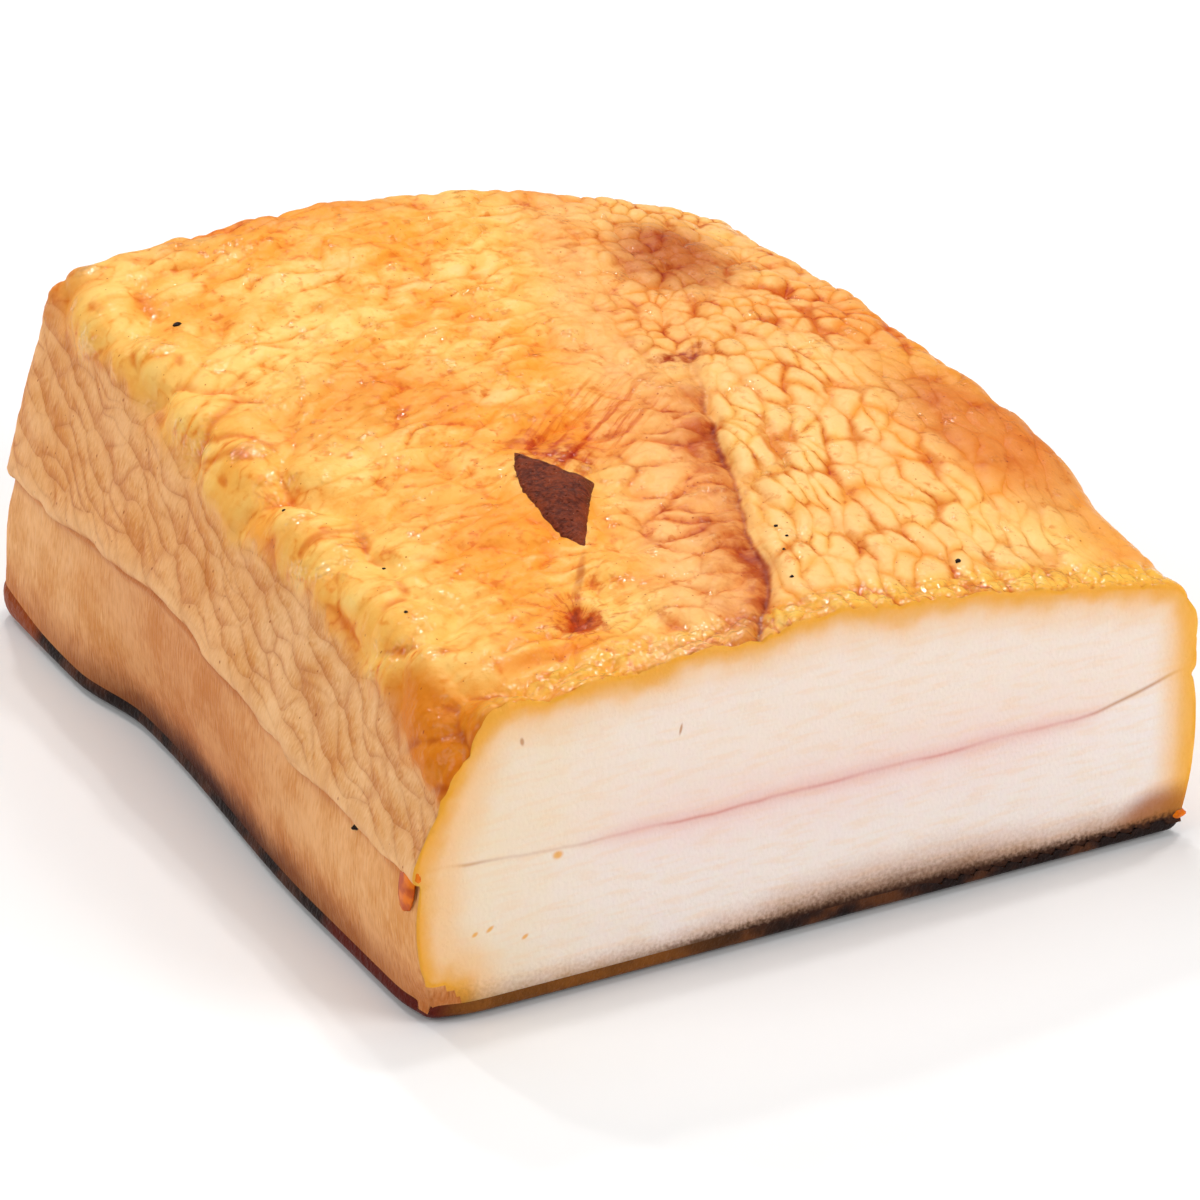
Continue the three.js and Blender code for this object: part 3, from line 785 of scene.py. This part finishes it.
def chip_mesh():
    """A plate over the outline: its top lies on the skin, its underside is sunk in it."""
    outline = [Vector(point) for point in CHIP_OUTLINE]
    points = list(outline)
    columns = range(*[int(end / CHIP_STEP) for end in CHIP_ACROSS])
    rows = range(*[int(end / CHIP_STEP) for end in CHIP_ALONG])
    for i in columns:
        for j in rows:
            points.append(Vector((i * CHIP_STEP, j * CHIP_STEP)))
    ring = [(n, (n + 1) % len(outline)) for n in range(len(outline))]
    places, _, faces, *_ = delaunay_2d_cdt(points, ring, [], 1, 0.05)
    skin = BVHTree.FromObject(back_fat, bpy.context.evaluated_depsgraph_get())
    mesh = bmesh.new()
    plate = []
    for place in places:
        above = slab_low + MM * Vector((place.x, place.y, ABOVE))
        hit = skin.ray_cast(above, DOWN)[0]
        inset = min(segment_distance(place, outline[a], outline[b]) for a, b in ring)
        rise = CHIP_THICKNESS * (1 - math.exp(-inset / CHIP_RIM["width"])) - CHIP_RIM["sunk"]
        plate.append((hit, rise))
    tops = [mesh.verts.new(hit + Vector((0, 0, rise * MM))) for hit, rise in plate]
    unders = [mesh.verts.new(hit - Vector((0, 0, CHIP_SUNK * MM))) for hit, rise in plate]
    sides = {}
    for face in faces:
        mesh.faces.new([tops[n] for n in face])
        mesh.faces.new([unders[n] for n in reversed(face)])
        for a, b in zip(face, face[1:] + face[:1]):
            if sides.pop((b, a), None) is None:
                sides[(a, b)] = True
    for a, b in sides:
        mesh.faces.new([tops[b], tops[a], unders[a], unders[b]])
    bmesh.ops.recalc_face_normals(mesh, faces=mesh.faces)
    for face in mesh.faces:
        face.smooth = True
    return mesh


def segment_distance(place, first, second):
    """How far a place is from a straight line between two points."""
    nearest, share = intersect_point_line(place, first, second)
    if share <= 0:
        return (place - first).length
    if share >= 1:
        return (place - second).length
    return (place - Vector(nearest[:2])).length


MAHOGANY = colour("863a20")
DARK_MAHOGANY = colour("521c0c")
CHIP_RED = colour("9c441e")
CHIP_GLINT = colour("d8a488")


def dried_lean():
    """Finish of the chip: dark mahogany fibres with small pits and small pale dots painted as glints."""
    finish, start = new_finish("dried_lean")
    place = start.node("ShaderNodeTexCoord", {}, {}, "Object")
    u, v, w = [(part - low) / MM for part, low in zip(place.parts(), slab_low)]
    grain = place.vector(u * 1.6 + v, v - u * 0.6, w).drift(1.2, 4.0, 0.65)
    pits = place.vector(u / 1.4, v / 1.4).spots(0.5, 0.15)
    blotches = place.drift(0.006, 2.0)
    base = grain.smooth(0.35, 0.65).tint(DARK_MAHOGANY, MAHOGANY)
    base = (blotches.smooth(0.5, 0.7) * 0.5).tint(base, CHIP_RED)
    base = (pits * 0.8).tint(base, DARK_MAHOGANY)
    # Painted glints: small pale dots over the chip.
    glint_dots = place.vector(v / 1.2, u / 1.2).spots(0.35, 0.07)
    base = (glint_dots * 0.7).tint(base, CHIP_GLINT)
    grain = grain - pits * 0.8
    normal = relief_normal(start, grain)
    surface(start, {"Base Color": base, "Roughness": 0.3 + 0.3 * grain, "Normal": normal, **DULL})
    return finish


lean_chip = link_piece("lean_chip", chip_mesh())
lean_chip.data.materials.append(dried_lean())
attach(lean_chip, "root")
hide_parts("lardo_slab")

# Specks: grains of soot and pepper that stick in the grease of the skin.
# Each is a small flattened grain, pressed into the skin where the photograph shows it.
SPECKS = [(79.9, 29.2, 0.3), (79.4, 24.8, 0.25), (76.9, 21.3, 0.25), (73.5, 12.7, 0.35),
          (102.6, 10.3, 0.45), (23.3, 135.8, 0.6), (13.2, 72.3, 0.3), (19.8, 49.2, 0.25),
          (15.0, 31.6, 0.3)]  # across, along and radius
SPECK_SHAPE = (1.2, 1.0, 0.8)
SPECK_RAGGED = 0.5
SPECK_ROUGHNESS = 1.3
WALL_SPECK = {"along": 22.9, "up": 25.5, "radius": 0.6}
SOOT = colour("1c0e08")


def speck_places():
    """Where each speck sits on the skin, and its radius."""
    skin = BVHTree.FromObject(back_fat, bpy.context.evaluated_depsgraph_get())
    for across, along, radius in SPECKS:
        above = slab_low + MM * Vector((across, along, ABOVE))
        yield skin.ray_cast(above, DOWN)[0], radius
    beside = slab_low + MM * Vector((BESIDE, WALL_SPECK["along"], WALL_SPECK["up"]))
    yield skin.ray_cast(beside, Vector((1, 0, 0)))[0], WALL_SPECK["radius"]


def soot():
    """Finish of the specks."""
    finish, start = new_finish("soot")
    surface(start, {"Base Color": SOOT, "Roughness": 0.6, "Specular IOR Level": 0.2})
    return finish


speck_mesh = bmesh.new()
for place, radius in speck_places():
    grain = bmesh.ops.create_icosphere(speck_mesh, subdivisions=2, radius=1.0)["verts"]
    for vert in grain:
        rough = 1 + SPECK_RAGGED * noise.noise(vert.co * SPECK_ROUGHNESS + place / MM)
        flattened = Vector([part * reach for part, reach in zip(vert.co, SPECK_SHAPE)])
        vert.co = place + MM * radius * rough * flattened
specks = link_piece("specks", speck_mesh)
specks.data.materials.append(soot())
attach(specks, "root")
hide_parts("lardo_slab")

# Scraps: torn bits of skin and rind that hang on the edges of the cut.
# Each is a small lens of fat, ragged and soaked amber by the smoke.
SCRAPS = {
    "seam_flap": {"at": (0.7, 3.2, 24.6), "size": (0.9, 2.4, 4.6), "lean": 12},
    "seam_curl": {"at": (1.0, 1.2, 27.6), "size": (0.9, 1.5, 1.6), "lean": -20},
    "rind_end": {"at": (140.2, 0.4, 3.8), "size": (1.4, 0.8, 0.9), "lean": 0},
}
SCRAP_RAGGED = 0.22
SCRAP_ROUGHNESS = 1.7
SCRAP_AMBER = colour("ee7a10")
SCRAP_DARK = colour("c04c06")


def ragged_lens(mesh, at, size, lean):
    """Adds a lens with a ragged surface at a place of the box, leaning by degrees about its length."""
    made = bmesh.ops.create_icosphere(mesh, subdivisions=3, radius=1.0)["verts"]
    middle = slab_low + MM * Vector(at)
    turned = Matrix.Rotation(math.radians(lean), 3, "X")
    for vert in made:
        rough = 1 + SCRAP_RAGGED * noise.noise(vert.co * SCRAP_ROUGHNESS + Vector(at))
        stretched = Vector([part * reach for part, reach in zip(vert.co, size)])
        vert.co = middle + MM * rough * (turned @ stretched)


def soaked_scrap():
    """Finish of the scraps: amber, darker in patches."""
    finish, start = new_finish("soaked_scrap")
    place = start.node("ShaderNodeTexCoord", {}, {}, "Object")
    base = place.drift(0.004, 3.0).smooth(0.4, 0.6).tint(SCRAP_DARK, SCRAP_AMBER)
    surface(start, {"Base Color": base, "Roughness": 0.25, **DULL})
    return finish


scrap_mesh = bmesh.new()
for scrap in SCRAPS.values():
    ragged_lens(scrap_mesh, **scrap)
for face in scrap_mesh.faces:
    face.smooth = True
scraps = link_piece("scraps", scrap_mesh)
scraps.data.materials.append(soaked_scrap())
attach(scraps, "root")
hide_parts("lardo_slab")

# Rind: the pig's skin under the fat, singed and dried hard, dark brown, amber along part of the cut.
# It is left on the slab and its edge stands a little proud of the fat all the way round.
rind_mesh = merged_slab()
keep_layer(rind_mesh, 1)
rind = link_piece("rind", rind_mesh)
subdivide(rind)
bake_modifiers(rind)

RIND_DARK = colour("1e0e0a")
RIND_BROWN = colour("4e2a1a")
RIND_AMBER = colour("8c5218")
RIND_MAROON = colour("5c1608")
RIND_RUST = colour("94400e")


def dried_rind():
    """Finish of the rind: dark brown, amber where fat has soaked it."""
    finish, start = new_finish("dried_rind")
    place = start.node("ShaderNodeTexCoord", {}, {}, "Object")
    u, v, w = [(part - low) / MM for part, low in zip(place.parts(), slab_low)]
    blotches = place.drift(0.009, 3.0)
    grain = place.drift(0.0012, 3.0)
    base = blotches.smooth(0.4, 0.6).tint(RIND_DARK, RIND_BROWN)
    base = (v.smooth(38, 30) * u.smooth(12, 4)).tint(base, RIND_MAROON)
    base = (v.smooth(146, 152) * u.smooth(14, 6)).tint(base, RIND_RUST)
    amber = v.smooth(1.6, 0.4) * (0.7 * u.smooth(70, 30) + 0.2 * blotches.smooth(0.45, 0.6))
    base = amber.tint(base, RIND_AMBER)
    normal = relief_normal(start, grain, depth=0.8, strength=0.7)
    surface(start, {"Base Color": base, "Roughness": 0.3 + 0.25 * grain, "Normal": normal, **DULL})
    return finish


rind.data.materials.clear()
rind.data.materials.append(dried_rind())
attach(rind, "root")
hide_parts("lardo_slab")

# Floor, light and camera: a plain pale floor under soft boxes, seen as in the photograph.
# The camera stands to the left of the cut face, above it and far off, so the slab is hardly foreshortened.
FLOOR_SIZE = 8.0
FLOOR_WHITE = (0.95, 0.95, 0.95, 1.0)
AIM = Vector((0.02493, 0.03745, 0.0))
CAMERA = {"turn": -27.8546, "raise": 26.5, "distance": 1.104, "lens": 187.2, "sensor": 36.0}
SOFT_BOXES = {
    "over_head": {"at": (0.0, 0.2, 1.6), "size": (1.4, 1.4), "power": 6.7},
    "front_right": {"at": (1.0, -1.3, 0.9), "size": (0.9, 0.9), "power": 15.5},
    "left": {"at": (-1.2, 0.1, 0.9), "size": (0.8, 0.8), "power": 6.2},
    "behind": {"at": (0.5, 0.95, 0.9), "size": (0.12, 0.12), "power": 1.6},
    "glint_behind": {"at": (0.25, 0.8, 1.1), "size": (0.08, 0.08), "power": 2.4},
    "glint_left": {"at": (-0.35, 1.0, 0.95), "size": (0.08, 0.08), "power": 2.4},
    "glint_above": {"at": (0.45, 0.1, 1.3), "size": (0.08, 0.08), "power": 2.4},
}
LIGHTS_AIM = Vector((0, 0, 0.03))
WORLD_STRENGTH = 0.25

bpy.ops.mesh.primitive_plane_add(size=FLOOR_SIZE)
floor = bpy.context.object
floor.name = "floor"
floor_finish, floor_start = new_finish("pale_floor")
surface(floor_start, {"Base Color": FLOOR_WHITE, "Roughness": 0.8})
floor.data.materials.append(floor_finish)

world = bpy.data.worlds.new("studio")
bpy.context.scene.world = world
world.use_nodes = True
world.node_tree.nodes["Background"].inputs["Color"].default_value = (1.0, 1.0, 1.0, 1.0)
world.node_tree.nodes["Background"].inputs["Strength"].default_value = WORLD_STRENGTH

for name, box in SOFT_BOXES.items():
    light = bpy.data.lights.new(name, "AREA")
    light.shape = "RECTANGLE"
    light.size, light.size_y = box["size"]
    light.energy = box["power"]
    lamp = bpy.data.objects.new(name, light)
    lamp.location = box["at"]
    lamp.rotation_euler = (LIGHTS_AIM - lamp.location).to_track_quat("-Z", "Y").to_euler()
    bpy.context.scene.collection.objects.link(lamp)

lens = bpy.data.cameras.new("camera")
lens.lens = CAMERA["lens"]
lens.sensor_width = CAMERA["sensor"]
camera = bpy.data.objects.new("camera", lens)
turn = math.radians(CAMERA["turn"])
lift = math.radians(CAMERA["raise"])
away = Vector((math.sin(turn) * math.cos(lift), -math.cos(turn) * math.cos(lift), math.sin(lift)))
camera.location = AIM + CAMERA["distance"] * away
camera.rotation_euler = (-away).to_track_quat("-Z", "Y").to_euler()
bpy.context.scene.collection.objects.link(camera)
bpy.context.scene.camera = camera
bpy.context.scene.view_settings.view_transform = "Standard"
bpy.context.scene.cycles.max_bounces = 4
bpy.context.scene.cycles.diffuse_bounces = 2
bpy.context.scene.cycles.glossy_bounces = 1
